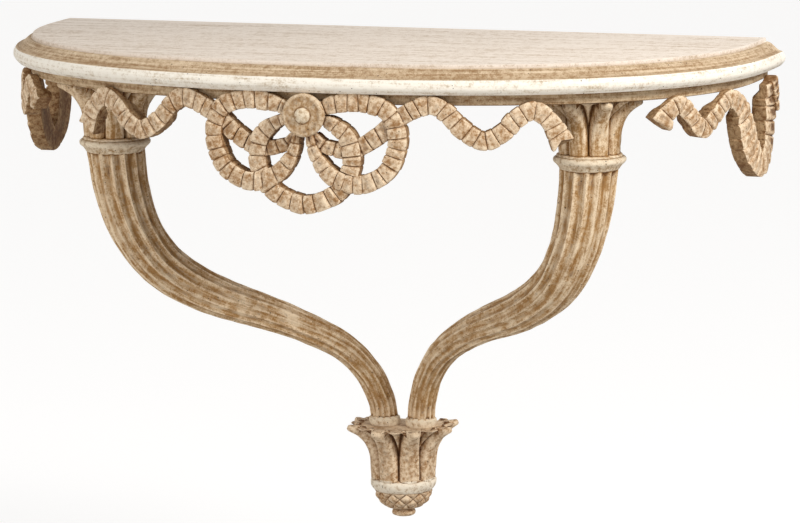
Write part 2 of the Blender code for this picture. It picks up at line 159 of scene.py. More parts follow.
# Curve of a leg, as shares: down from the collar, out sideways, out from the wall, thickness
LEG_CURVE = [
    (0.00, 1.000, 1.000, 1.00), (0.16, 0.974, 0.987, 0.89), (0.30, 0.920, 0.948, 0.76),
    (0.43, 0.816, 0.852, 0.63), (0.53, 0.642, 0.697, 0.48), (0.63, 0.367, 0.436, 0.20),
    (0.73, 0.170, 0.202, 0.05), (0.83, 0.065, 0.082, 0.00), (0.93, 0.014, 0.017, 0.00),
    (1.00, 0.000, 0.000, 0.00),
]

# Ribbon routes: metres along the apron's edge, metres below the slab, share of the full width
OUTER_LOOP = [(0.020, 0.0275, 0.60), (0.050, 0.0165, 0.95), (0.090, 0.0140, 1.0), (0.128, 0.0255, 1.0),
              (0.144, 0.0625, 1.0), (0.132, 0.1065, 1.0), (0.108, 0.1275, 1.0), (0.078, 0.1345, 1.0),
              (0.042, 0.1220, 0.95), (0.018, 0.0920, 0.65), (0.009, 0.0615, 0.40)]
INNER_LOBE = [(0.018, 0.0375, 0.40), (0.044, 0.0465, 0.75), (0.068, 0.0680, 1.0), (0.0735, 0.1055, 1.0),
              (0.055, 0.1425, 1.0), (0.030, 0.1590, 1.0), (0.000, 0.1665, 1.0)]
SWAG = [(0.014, 0.0635, 0.50), (0.032, 0.0795, 0.70), (0.072, 0.0845, 0.90), (0.112, 0.0635, 1.0),
        (0.150, 0.0325, 1.0), (0.190, 0.0155, 1.0), (0.215, 0.0260, 1.0), (0.238, 0.0500, 1.0),
        (0.270, 0.0680, 1.0), (0.300, 0.0550, 1.0), (0.318, 0.0360, 1.0), (0.345, 0.0240, 1.0),
        (0.370, 0.0430, 1.0), (0.388, 0.0760, 1.30)]
SIDE_RIBBON = [(0.541, 0.0540, 1.45), (0.554, 0.0360, 1.05), (0.576, 0.0265, 1.0), (0.600, 0.0480, 1.0),
               (0.622, 0.0660, 1.0), (0.650, 0.0470, 1.0), (0.684, 0.0280, 1.0), (0.718, 0.0440, 1.3),
               (0.735, 0.0780, 1.8), (0.756, 0.1120, 1.8), (0.793, 0.1385, 1.4), (0.828, 0.1200, 1.7),
               (0.841, 0.0850, 1.9), (0.845, 0.0450, 1.9), (0.842, 0.0200, 1.5)]
WALL_TAIL = [(0.852, 0.0160, 0.9), (0.860, 0.0380, 0.8), (0.866, 0.0660, 0.3)]


def smooth_path(points, steps):
    """Catmull-Rom curve through rows of numbers, resampled at even steps of its first two columns."""
    rows = np.array(points, dtype=float)
    rows = np.vstack([2 * rows[0] - rows[1], rows, 2 * rows[-1] - rows[-2]])
    fine = []
    for a, b, c, d in zip(rows, rows[1:], rows[2:], rows[3:]):
        for t in np.linspace(0, 1, CURVE_SPLIT, endpoint=False):
            fine.append(0.5 * (2 * b + (c - a) * t + (2 * a - 5 * b + 4 * c - d) * t ** 2
                               + (3 * b - a - 3 * c + d) * t ** 3))
    fine = np.array(fine + [rows[-2]])
    run = np.r_[0, np.cumsum(np.hypot(*np.diff(fine[:, :2], axis=0).T))]
    even = np.linspace(0, run[-1], steps + 1)
    return np.array([np.interp(even, run, column) for column in fine.T]).T


class EdgeLine:
    """The plan curve of the top, moved inwards, measured along from its middle."""

    def __init__(self, inset):
        angle = np.linspace(0, math.pi, OUTLINE_POINTS)
        cos, sin = np.cos(angle), np.sin(angle)
        x = WIDTH / 2 * np.sign(cos) * np.abs(cos) ** (2 / SQUARENESS)
        y = -WALL_STRAIGHT - (DEPTH - WALL_STRAIGHT) * np.abs(sin) ** (2 / SQUARENESS)
        x, y = np.r_[WIDTH / 2, x, -WIDTH / 2], np.r_[0, y, 0]
        keep = np.r_[True, np.hypot(np.diff(x), np.diff(y)) > POINT_SLACK]
        x, y = x[keep], y[keep]
        run = np.r_[0, np.cumsum(np.hypot(np.diff(x), np.diff(y)))]
        dx, dy = np.gradient(x, run), np.gradient(y, run)
        size = np.hypot(dx, dy)
        self.out_x, self.out_y = -dy / size, dx / size
        self.x, self.y = x - self.out_x * inset, y - self.out_y * inset
        run = np.r_[0, np.cumsum(np.hypot(np.diff(self.x), np.diff(self.y)))]
        self.along = run[-1] / 2 - run
        self.half = run[-1] / 2

    def at(self, along, deeper=0.0):
        """The plan point at a distance along, and deeper inwards."""
        def read(column):
            return float(np.interp(-along, -self.along, column))
        x, y = read(self.x), read(self.y)
        return x - read(self.out_x) * deeper, min(0.0, y - read(self.out_y) * deeper)


EDGE = EdgeLine(0.0)
RIBBON_LINE = EdgeLine(RIBBON_INSET)
LEG_SPREAD, LEG_FORWARD_Y = EDGE.at(EDGE.half * LEG_SHARE, LEG_INSET)


def deselect():
    bpy.ops.object.select_all(action="DESELECT")


def drawn(name, rings):
    """A closed solid: a filled circle laid on the first ring, then extruded from ring to ring."""
    deselect()
    bpy.ops.mesh.primitive_circle_add(vertices=len(rings[0]), fill_type="NGON")
    thing = bpy.context.object
    thing.name = name
    bpy.ops.object.mode_set(mode="EDIT")
    shape = bmesh.from_edit_mesh(thing.data)
    station = shape.verts.layers.int.new("station")
    for index, vert in enumerate(shape.verts):
        vert[station] = index
        vert.co = rings[0][index]
    for ring in rings[1:]:
        bpy.ops.mesh.extrude_region()
        for vert in shape.verts:
            if vert.select:
                vert.co = ring[vert[station]]
    bpy.ops.mesh.select_all(action="SELECT")
    bpy.ops.mesh.normals_make_consistent(inside=False)
    bpy.ops.object.mode_set(mode="OBJECT")
    thing.data.attributes.remove(thing.data.attributes["station"])
    return thing


def fused(name, things):
    """One body from several closed ones."""
    deselect()
    body = things[0]
    bpy.context.view_layer.objects.active = body
    for other in things[1:]:
        step = body.modifiers.new("join", "BOOLEAN")
        step.operation = "UNION"
        step.solver = "MANIFOLD"
        step.object = other
        bpy.ops.object.modifier_apply(modifier=step.name)
        bpy.data.objects.remove(other)
    body.name = name
    return body


def cut_at_wall(body):
    """Cuts away what reaches behind the wall's face.

    The face that the cut leaves would span the hollow between the ends of a raised lip, so it is taken out
    and filled anew.
    """
    deselect()
    bpy.ops.mesh.primitive_cube_add(size=1.0, location=(0, 0.5, -0.5))
    cutter = bpy.context.object
    bpy.context.view_layer.objects.active = body
    step = body.modifiers.new("cut", "BOOLEAN")
    step.operation = "DIFFERENCE"
    step.solver = "MANIFOLD"
    step.object = cutter
    bpy.ops.object.modifier_apply(modifier=step.name)
    bpy.data.objects.remove(cutter)
    bpy.ops.object.mode_set(mode="EDIT")
    bpy.ops.mesh.select_mode(type="FACE")
    bpy.ops.mesh.select_all(action="DESELECT")
    shape = bmesh.from_edit_mesh(body.data)
    for face in shape.faces:
        face.select_set(all(vert.co.y > -WALL_SLACK for vert in face.verts))
    bpy.ops.mesh.delete(type="FACE")
    bpy.ops.mesh.select_mode(type="EDGE")
    shape = bmesh.from_edit_mesh(body.data)
    for edge in shape.edges:
        edge.select_set(edge.is_boundary)
    bpy.ops.mesh.fill(use_beauty=False)
    bpy.ops.mesh.select_all(action="SELECT")
    bpy.ops.mesh.normals_make_consistent(inside=False)
    bpy.ops.object.mode_set(mode="OBJECT")
    return body


def worn(point, amount, size):
    """A small push that varies smoothly over the surface, as hand work and wear leave it."""
    return amount * noise.noise(Vector(point) / size)


def worn_round(amount, size, upright):
    """The same push for a turned body, by angle and height; upright is how fast it varies with height."""
    return lambda angle, height: worn((math.cos(angle), math.sin(angle), height * upright), amount, size)


def turned(name, profile, segments, centre, bump=None, facing_front=False):
    """A turned solid from rows of radius and height, its axis along Z or towards the front."""
    rings = []
    for radius, height in profile:
        ring = []
        for k in range(segments):
            angle = 2 * math.pi * k / segments
            reach = radius + (bump(angle, height) if bump else 0.0)
            x, y = reach * math.cos(angle), reach * math.sin(angle)
            spot = (x, -height, y) if facing_front else (x, y, height)
            ring.append(Vector(spot) + Vector(centre))
        rings.append(ring)
    return drawn(name, rings)


def store(piece, name, kind, values):
    layer = piece.data.attributes.new(name, kind, "POINT")
    layer.data.foreach_set("vector" if kind == "FLOAT_VECTOR" else "value",
                           np.asarray(values, dtype=np.float32).ravel())


# Relief stored for the deepest hollows, so that their grime and painted shade still vary
DEEPEST = -0.85


def mark_flow(piece, place_of):
    """Stores where the pattern of the finish sits at each point; its third number runs with the grain."""
    store(piece, "flow", "FLOAT_VECTOR", [place_of(vert.co) for vert in piece.data.vertices])


def mark_relief(piece, rounds, depth, lifted=None):
    """Stores how far each point stands above (1) or below (DEEPEST) the softened surface round it.

    lifted gives, for a point, what is added to that.
    """
    mesh = piece.data
    count = len(mesh.vertices)
    place = np.empty(count * 3)
    mesh.vertices.foreach_get("co", place)
    place = place.reshape(-1, 3)
    normal = np.empty(count * 3)
    mesh.vertices.foreach_get("normal", normal)
    ends = np.empty(len(mesh.edges) * 2, dtype=np.int64)
    mesh.edges.foreach_get("vertices", ends)
    a, b = ends.reshape(-1, 2).T
    neighbours = np.bincount(np.r_[a, b], minlength=count)[:, None]
    soft = place.copy()
    for _ in range(rounds):
        summed = np.stack([np.bincount(a, soft[b, i], count) + np.bincount(b, soft[a, i], count)
                           for i in range(3)], axis=1)
        soft = 0.5 * soft + 0.5 * summed / neighbours
    rise = ((place - soft) * normal.reshape(-1, 3)).sum(axis=1)
    rise = np.clip((rise - np.median(rise)) / depth, -1, 1)
    if lifted:
        rise += np.array([lifted(vert.co) for vert in mesh.vertices])
    store(piece, "relief", "FLOAT", np.clip(rise, DEEPEST, 1))


def settle(piece, node, materials, sharp=50):
    """Keeps a finished piece inside the frame's box, shades it, gives it its materials, parents it to the
    root and hides the frame's part named by node.
    """
    low, high = CAD_BOX
    for vert in piece.data.vertices:
        vert.co = [min(max(value, floor), top) for value, floor, top in zip(vert.co, low, high)]
    deselect()
    piece.select_set(True)
    bpy.context.view_layer.objects.active = piece
    bpy.ops.object.shade_smooth_by_angle(angle=math.radians(sharp))
    piece.data.materials.clear()
    for material in materials:
        piece.data.materials.append(material)
    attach(piece, "root")
    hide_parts(node)
    return piece


def paint_where(piece, index, test):
    """Gives the faces whose middle passes a test another of the piece's materials."""
    for face in piece.data.polygons:
        if test(face.center):
            face.material_index = index


# Materials: the shared node groups

def new_group(name, inputs, outputs):
    tree = bpy.data.node_groups.new(name, "ShaderNodeTree")
    for label, kind, value in inputs:
        socket = tree.interface.new_socket(label, in_out="INPUT", socket_type=kind)
        socket.default_value = value
    for label, kind in outputs:
        tree.interface.new_socket(label, in_out="OUTPUT", socket_type=kind)
    return tree, tree.nodes.new("NodeGroupInput").outputs, tree.nodes.new("NodeGroupOutput").inputs


def feed(tree, socket, value):
    """Links a socket to another, or sets it to a plain value."""
    if isinstance(value, bpy.types.NodeSocket):
        tree.links.new(value, socket)
    else:
        socket.default_value = value


def calc(tree, operation, a, b=0.0, c=0.0):
    node = tree.nodes.new("ShaderNodeMath")
    node.operation = operation
    for socket, value in zip(node.inputs, (a, b, c)):
        feed(tree, socket, value)
    return node.outputs[0]


def total(tree, *parts):
    """Sum of sockets, each with its weight."""
    result = 0.0
    for socket, weight in parts:
        result = calc(tree, "MULTIPLY_ADD", socket, weight, result)
    return result


def ramp(tree, value, low, high):
    """0 below low, 1 above high, with a soft rise between."""
    node = tree.nodes.new("ShaderNodeMapRange")
    node.interpolation_type = "SMOOTHSTEP"
    for label, entry in (("Value", value), ("From Min", low), ("From Max", high)):
        feed(tree, node.inputs[label], entry)
    return node.outputs[0]


def blend(tree, factor, a, b):
    node = tree.nodes.new("ShaderNodeMix")
    node.data_type = "RGBA"
    for socket, value in ((node.inputs[0], factor), (node.inputs[6], a), (node.inputs[7], b)):
        feed(tree, socket, value)
    return node.outputs[2]


def cloud(tree, where, scale, detail=4.0, centred=True):
    """Noise, from -0.5 to 0.5 when centred."""
    node = tree.nodes.new("ShaderNodeTexNoise")
    feed(tree, node.inputs["Vector"], where)
    node.inputs["Scale"].default_value = scale
    node.inputs["Detail"].default_value = detail
    return calc(tree, "SUBTRACT", node.outputs[0], 0.5) if centred else node.outputs[0]


def stretched(tree, where, scale):
    node = tree.nodes.new("ShaderNodeMapping")
    feed(tree, node.inputs["Vector"], where)
    feed(tree, node.inputs["Scale"], scale)
    return node.outputs[0]


def tone(red, green, blue):
    """A colour given as it looks on a screen, 0 to 255, in linear light."""
    parts = []
    for value in (red, green, blue):
        share = value / 255
        parts.append(share / 12.92 if share < 0.04045 else ((share + 0.055) / 1.055) ** 2.4)
    return (*parts, 1.0)


def worm_hole_group():
    """Small round flight holes scattered over old wood."""
    tree, given, out = new_group("worm_holes", [("Density", "NodeSocketFloat", 0.3)],
                                 [("Mask", "NodeSocketFloat")])
    where = tree.nodes.new("ShaderNodeTexCoord").outputs["Object"]
    cells = tree.nodes.new("ShaderNodeTexVoronoi")
    feed(tree, cells.inputs["Vector"], where)
    cells.inputs["Scale"].default_value = 150
    apart = tree.nodes.new("ShaderNodeSeparateColor")
    feed(tree, apart.inputs[0], cells.outputs["Color"])
    chosen = calc(tree, "LESS_THAN", apart.outputs[0], given["Density"])
    reach = calc(tree, "MULTIPLY_ADD", apart.outputs[1], 0.12, 0.07)
    inner = calc(tree, "MULTIPLY", reach, 0.6)
    near = calc(tree, "SUBTRACT", 1.0, ramp(tree, cells.outputs["Distance"], inner, reach))
    feed(tree, out["Mask"], calc(tree, "MULTIPLY", chosen, near))
    return tree


def lime_wash_group():
    """Lime dry-brushed over brown wood: pale on what stands proud; dark in the hollows, as grime and also
    as painted shade.
    """
    tree, given, out = new_group(
        "lime_wash",
        [("Wood", "NodeSocketColor", (0.4, 0.25, 0.13, 1)),
         ("Lime", "NodeSocketColor", (0.8, 0.74, 0.64, 1)),
         ("Grime shade colour", "NodeSocketColor", (0.12, 0.07, 0.03, 1)),
         ("Cover", "NodeSocketFloat", 0.0),
         ("Grime and shade", "NodeSocketFloat", 0.0),
         ("Grain", "NodeSocketVector", (260, 260, 30)),
         ("Proud", "NodeSocketFloat", 0.3),
         ("Patch", "NodeSocketFloat", 0.6),
         ("Holes", "NodeSocketFloat", 0.0)],
        [("Colour", "NodeSocketColor"), ("Roughness", "NodeSocketFloat"), ("Height", "NodeSocketFloat")])
    flow = tree.nodes.new("ShaderNodeAttribute")
    flow.attribute_name = "flow"
    where = flow.outputs["Vector"]
    mark = tree.nodes.new("ShaderNodeAttribute")
    mark.attribute_name = "relief"
    relief = mark.outputs["Fac"]
    streak = cloud(tree, stretched(tree, where, given["Grain"]), 1.0, 5.0)
    blotch = calc(tree, "MULTIPLY", cloud(tree, where, 26.0), given["Patch"])
    mottle = cloud(tree, where, 120.0, 6.0)
    grit = cloud(tree, where, 460.0, 4.0)
    lime = total(tree, (calc(tree, "MULTIPLY", relief, given["Proud"]), 1.0), (streak, 1.7), (blotch, 1.2),
                 (mottle, 1.3), (grit, 1.2), (given["Cover"], 1.0))
    lime = ramp(tree, lime, -0.50, 0.62)
    # The dark mask: grime mottling, and painted shade where the relief is low.
    grime_and_shade = total(tree, (relief, -0.95), (mottle, 1.1), (grit, 1.3), (blotch, 0.4), (given["Grime and shade"], 1.0))
    grime_and_shade = ramp(tree, grime_and_shade, 0.20, 1.05)
    shade = ramp(tree, total(tree, (streak, 1.2), (mottle, 0.9), (grit, 1.1)), -0.42, 0.42)
    deep = tree.nodes.new("ShaderNodeMix")
    deep.data_type = "RGBA"
    deep.blend_type = "MULTIPLY"
    deep.inputs[0].default_value = 1.0
    feed(tree, deep.inputs[6], given["Wood"])
    deep.inputs[7].default_value = (0.66, 0.58, 0.48, 1)
    colour = blend(tree, shade, deep.outputs[2], given["Wood"])
    colour = blend(tree, lime, colour, given["Lime"])
    colour = blend(tree, grime_and_shade, colour, given["Grime shade colour"])
    feed(tree, out["Colour"], blend(tree, given["Holes"], colour, (0.07, 0.04, 0.02, 1)))
    feed(tree, out["Roughness"], calc(tree, "MULTIPLY_ADD", lime, 0.20, 0.62))
    height = total(tree, (streak, 0.75), (grit, 0.9), (mottle, 0.55), (lime, 0.25), (given["Holes"], -1.4))
    feed(tree, out["Height"], height)
    return tree


WORM_HOLES = worm_hole_group()
LIME_WASH = lime_wash_group()

LIME = tone(234, 219, 196)
BROWN = tone(104, 68, 34)
TAN = tone(188, 154, 112)
FINE_GRAIN = (230, 230, 20)
EVEN_GRAIN = (170, 170, 170)
BUMP_HEIGHT = 0.0009


def limed(name, wood=TAN, lime=LIME, grime_shade_colour=BROWN, cover=0.0, grime_and_shade=0.0, grain=EVEN_GRAIN, holes=0.30,
          proud=0.30, patch=0.6, depth=0.55):
    """A limed wood: the third colour is for grime and painted shade; cover adds lime, the offset after
    cover adds grime and painted shade, proud ties the lime to the relief.

    patch sets how strong the large patches are, holes how many cells hold a worm hole, depth the bump.
    """
    material = bpy.data.materials.new(name)
    material.use_nodes = True
    tree = material.node_tree
    shader = tree.nodes["Principled BSDF"]
    shader.inputs["Specular IOR Level"].default_value = 0.25
    wash = tree.nodes.new("ShaderNodeGroup")
    wash.node_tree = LIME_WASH
    for label, value in (("Wood", wood), ("Lime", lime), ("Grime shade colour", grime_shade_colour), ("Cover", cover), ("Grime and shade", grime_and_shade),
                         ("Grain", grain), ("Proud", proud), ("Patch", patch)):
        wash.inputs[label].default_value = value
    specks = tree.nodes.new("ShaderNodeGroup")
    specks.node_tree = WORM_HOLES
    specks.inputs["Density"].default_value = holes
    tree.links.new(specks.outputs["Mask"], wash.inputs["Holes"])
    bump = tree.nodes.new("ShaderNodeBump")
    bump.inputs["Strength"].default_value = depth
    bump.inputs["Distance"].default_value = BUMP_HEIGHT
    tree.links.new(wash.outputs["Height"], bump.inputs["Height"])
    tree.links.new(bump.outputs["Normal"], shader.inputs["Normal"])
    tree.links.new(wash.outputs["Colour"], shader.inputs["Base Color"])
    tree.links.new(wash.outputs["Roughness"], shader.inputs["Roughness"])
    return material


# The top and its board

def plan_ring(inset, z, wear=0.0):
    """The half-round outline at one height, from the wall at +X round to the wall at -X."""
    ring = []
    for along in np.linspace(EDGE.half, -EDGE.half, PLAN_POINTS):
        x, y = EDGE.at(along, inset)
        x, y = EDGE.at(along, inset + wear * (0.5 + noise.noise(Vector((x * 16, y * 16, z * 60)))
                                               + 0.4 * noise.noise(Vector((x * 70, y * 70, z * 90)))))
        ring.append(Vector((x, y, z)))
    return ring


def moulded_edge():
    """Inset, height and wear down the moulded edge: rounded arris, fillet, ogee, round rim."""
    profile = [(FIELD_INSET + 0.0016, TOP_Z, 0.0), (FIELD_INSET + 0.0004, TOP_Z - 0.0005, 0.0003),
               (FIELD_INSET, TOP_Z - 0.0016, 0.0004), (FIELD_INSET, FILLET_Z + 0.0006, 0.0003),
               (FIELD_INSET - 0.0006, FILLET_Z, 0.0)]
    for share in np.linspace(0, 1, 15):
        swing = 0.5 - 0.5 * math.cos(math.pi * share)
        profile.append((FIELD_INSET - LEDGE - (FIELD_INSET - LEDGE - RIM_SETBACK) * share,
                        FILLET_Z - (FILLET_Z - RIM_TOP_Z) * swing, 0.0003))
    for share in np.linspace(0.03, 0.45, 7):
        bulge = math.sin(math.pi * (share + 0.05))
        profile.append((RIM_SETBACK * (1 - bulge), RIM_TOP_Z - RIM_HEIGHT * share, 0.0007))
    for share in np.linspace(0.55, 1, 9):
        profile.append((RIM_UNDER_INSET * (1 - math.cos((share - 0.5) * math.pi)),
                        RIM_TOP_Z - RIM_HEIGHT * share, 0.0007))
    return profile


def make_top():
    def place(point):
        """The grain runs straight across the field, and round along the moulding."""
        on_field = point.z > TOP_Z - LEVEL_SLACK
        return (point.y, point.z, point.x) if on_field else edge_place(point)

    top = drawn("moulded_top", [plan_ring(inset, z, wear) for inset, z, wear in moulded_edge()])
    mark_relief(top, 4, 0.0005)
    mark_flow(top, place)
    field = limed("top_field", wood=tone(225, 211, 196), lime=tone(233, 221, 208), grime_shade_colour=tone(208, 190, 170),
                  cover=0.15, grime_and_shade=-0.20, grain=(150, 150, 5), holes=0.04, patch=0.25, depth=0.15)
    ogee = limed("top_ogee", wood=tone(180, 150, 114), lime=tone(220, 198, 168), grime_shade_colour=tone(128, 96, 60),
                 grime_and_shade=-0.16, grain=(260, 260, 7), holes=0.40, patch=0.25)
    rim = limed("top_rim", wood=tone(216, 198, 170), lime=tone(246, 239, 226), grime_shade_colour=tone(150, 120, 84),
                cover=0.40, grime_and_shade=-0.24, grain=(220, 220, 12), holes=0.36, patch=0.35)
    settle(top, "top_slab", [field, ogee, rim], sharp=40)
    crease_z = RIM_TOP_Z - 2 * LEVEL_SLACK
    paint_where(top, 1, lambda middle: crease_z < middle.z < FILLET_Z)
    paint_where(top, 2, lambda middle: middle.z <= crease_z)


def make_apron():
    low, high = BOARD_UNDER_Z, BOARD_TOP_Z
    upper_arris, lower_arris = 0.0010, 0.0012
    levels = [(BOARD_INSET + upper_arris, high), (BOARD_INSET, high - upper_arris),
              (BOARD_INSET, low + lower_arris), (BOARD_INSET + lower_arris, low)]
    apron = drawn("apron_band", [plan_ring(inset, z, 0.0003) for inset, z in levels])
    mark_relief(apron, 3, 0.0005)
    mark_flow(apron, edge_place)
    band = limed("apron_band", wood=tone(166, 134, 96), lime=tone(208, 186, 154), grain=(220, 220, 12))
    settle(apron, "apron_board", [band], sharp=35)


# The ribbons

def ribbon_back(low):
    """Depth of a ribbon's back, given its highest point: it clears the board, and is thicker below it."""
    over_board = BOARD_INSET - RIBBON_INSET - BACK_CLEAR
    below = BOARD_UNDER_Z - UNDERCUT_CLEAR - (SLAB_UNDER_Z - low)
    return over_board + RIBBON_UNDERCUT * min(1.0, max(0.0, below / UNDERCUT_EASE))


def pleat_marks(path, length, draw):
    """Where the creases lie along a ribbon, a little unevenly, wider apart on the wide stretches."""
    stations = np.linspace(0, length, len(path))
    marks = [0.0]
    while marks[-1] < length:
        share = np.interp(marks[-1], stations, path[:, 2])
        wider = 1 + 0.10 * max(0.0, share - 1)
        marks.append(marks[-1] + PLEAT_PITCH * wider * draw.uniform(*PLEAT_SPREAD))
    return np.array(marks) * (length / marks[-1])


# Places across a ribbon's face and back, from -1 to 1, and along each pleat, from 0 to 1
FACE = np.linspace(-1, 1, 15)
BACK = (1.0, 0.96, 0.5, 0.0, -0.5, -0.96, -1.0)
PHASES = (0.0, 0.04, 0.10, 0.22, 0.40, 0.60, 0.78, 0.90, 0.96)

# How pleats differ: their spacing, and the shares of a pleat that rise and fall to its creases
PLEAT_SPREAD = (0.74, 1.26)
CREST_RISE = 0.16
CREST_FALL = 0.07
GATHER_DEPTH = 0.0030
BACK_ROLL = 0.0015
FORK_REACH = 2.2


def strand(name, route, side=1, sunk=0.0, sink_until=math.inf, seed=1, fork=0.0):
    """One stretch of pleated ribbon bent round the apron; fork cuts a swallow tail that deep at its end."""
    draw = random.Random(seed)
    path = smooth_path(route, ROUTE_STEPS)
    length = float(np.hypot(*np.diff(path[:, :2], axis=0).T).sum())
    stations = np.linspace(0, length, len(path))
    slope = np.gradient(path[:, :2], axis=0)
    slope /= np.hypot(*slope.T)[:, None]
    marks = pleat_marks(path, length, draw)
    slants = [draw.uniform(-0.16, 0.16) for _ in marks]
    lifts = [draw.uniform(-0.0008, 0.0008) for _ in marks]
    tilts = [0.0016 + draw.uniform(-0.0022, 0.0022) for _ in marks]
    swells = [draw.uniform(-0.0007, 0.0007) for _ in marks]
    stretch = RIBBON_LINE.half / ROUTE_EDGE

    def spot(station, across, depth):
        """The point of the ribbon at a station along it, across its width, and into the wood."""
        station = min(max(station, 0.0), length)
        along, low, ahead, down = (float(np.interp(station, stations, column)) for column in
                                   (path[:, 0], path[:, 1], slope[:, 0], slope[:, 1]))
        place = min((along - down * across) * stretch, RIBBON_LINE.half)
        height = SLAB_UNDER_Z - max(low + ahead * across, 2 * GAP)
        return Vector((*RIBBON_LINE.at(side * place, depth), height))

    def notch(across, left):
        """How far the swallow tail draws the ribbon back, with a length of it left to the end."""
        return fork * (1 - abs(across)) * max(0.0, 1 - left / (FORK_REACH * fork)) if fork else 0.0

    rings = []
    for index, (start, stop) in enumerate(zip(marks, marks[1:])):
        for phase in PHASES + ((1.0,) if index == len(marks) - 2 else ()):
            station = start + (stop - start) * phase
            crest = min(1.0, phase / CREST_RISE, (1 - phase) / CREST_FALL)
            share = float(np.interp(station, stations, path[:, 2]))
            along = float(np.interp(station, stations, path[:, 0]))
            narrow = min(1.0, share)
            half = RIBBON_WIDTH / 2 * share - SCALLOP * (1 - crest) + swells[index] * crest * narrow
            slant = (slants[index] * (1 - phase) + slants[index + 1] * phase) * min(1.0, 1 / share)
            face = sunk * min(1.0, max(0.0, (sink_until - along) / SINK_EASE))
            face += PLEAT_DEPTH * (1 - crest) * narrow - lifts[index] * crest
            face += tilts[index] * (phase - 0.5) * crest * narrow
            low = float(np.interp(station, stations, path[:, 1]))
            tilt = abs(float(np.interp(station, stations, slope[:, 0])))
            back = ribbon_back(low - tilt * half)
            gather = GATHER_DEPTH * max(0.0, 0.85 - share)
            left = length - station
            ring = []
            for across in FACE:
                depth = face + DOME * abs(across) ** 2.4 + gather * math.exp(-(across / 0.22) ** 2)
                if abs(across) > 0.99:
                    depth += EDGE_ROLL
                place = station + slant * half * across - notch(across, left)
                ring.append(spot(place, across * half, depth))
            for across in BACK:
                depth = back if abs(across) < 0.99 else back - BACK_ROLL
                place = station + slant * half * across - notch(across, left)
                ring.append(spot(place, across * half, depth))
            rings.append(ring)
    return drawn(name, rings)


RIBBON_FINISH = limed("ribbon_finish", wood=tone(186, 146, 102), lime=tone(236, 214, 184),
                      grime_shade_colour=tone(88, 54, 26), cover=0.06, grime_and_shade=0.06, holes=0.40, proud=0.16, patch=0.9)
# Darker copy for faces turned away from the outside: less lime, and painted shade on these faces.
RIBBON_SIDES_SHADED = limed("ribbon_sides_shaded", wood=tone(142, 102, 62), lime=tone(196, 164, 124),
                     grime_shade_colour=tone(72, 42, 20), cover=-0.10, grime_and_shade=-0.30, holes=0.40, proud=0.16, patch=0.9)
OUTWARDS = 0.30
EDGE_TREE = kdtree.KDTree(len(EDGE.x))
for edge_index, edge_point in enumerate(zip(EDGE.x, EDGE.y)):
    EDGE_TREE.insert((*edge_point, 0), edge_index)
EDGE_TREE.balance()


def edge_place(point):
    """How far a point stands in from the top's outline, its height, and how far along the outline it is."""
    index, depth = EDGE_TREE.find((point.x, point.y, 0))[1:]
    return depth, point.z, float(EDGE.along[index])


def finish_ribbon(ribbon, node):
    """The faces that look outwards take the lime; the sides, the back and the crease walls take a darker
    copy, which is less lime and partly painted shade; what lies deep gets painted shade.
    """
    def lifted(point):
        """Less relief, so more painted shade, for what lies behind the ribbons' line and round the knot,
        where shade falls.
        """
        behind = smooth_step(0.004, 0.009, edge_place(point)[0] - RIBBON_INSET)
        knot = math.hypot(point.x - ROSETTE_SHIFT, point.z - ROSETTE_Z) / ROSETTE_RADIUS
        return -0.45 * behind - 0.30 * (1 - smooth_step(1.0, 1.6, knot))

    mark_relief(ribbon, 5, 0.0009, lifted)
    mark_flow(ribbon, lambda point: point)
    settle(ribbon, node, [RIBBON_FINISH, RIBBON_SIDES_SHADED])
    # Faces turned away from the outside take the darker copy, partly as painted shade.
    for face in ribbon.data.polygons:
        index = EDGE_TREE.find((face.center.x, face.center.y, 0))[1]
        outwards = face.normal.x * EDGE.out_x[index] + face.normal.y * EDGE.out_y[index]
        face.material_index = 0 if outwards > OUTWARDS else 1


def make_bow():
    lobe = INNER_LOBE + [(-along, low, share) for along, low, share in INNER_LOBE[-2::-1]]
    front = DEPTH - RIBBON_INSET - 0.0005
    back = DEPTH - BOARD_INSET + BACK_CLEAR
    reach, arris = 0.8 * ROSETTE_RADIUS, 0.002
    knot_profile = [(reach, back), (reach, front - arris), (reach - arris, front)]
    things = [turned("bow_ribbon", knot_profile, 48, (ROSETTE_SHIFT, 0, ROSETTE_Z), facing_front=True),
              strand("lobe", lobe, sunk=0.0026, seed=3)]
    for side, seed in ((-1, 10), (1, 20)):
        things.append(strand("swag", SWAG, side, sunk=0.0056, sink_until=0.165, seed=seed, fork=0.009))
        things.append(strand("loop", OUTER_LOOP, side, sunk=-0.0002, seed=seed + 1))
    finish_ribbon(fused("bow_ribbon", things), "ribbon_front")


def make_side_ribbons():
    for side, word, seed in ((-1, "left", 30), (1, "right", 40)):
        things = [strand("side_ribbon_" + word, SIDE_RIBBON, side, sunk=0.0003, seed=seed),
                  strand("tail", WALL_TAIL, side, sunk=-0.004, seed=seed + 1)]
        finish_ribbon(fused("side_ribbon_" + word, things), "ribbon_side_" + word)


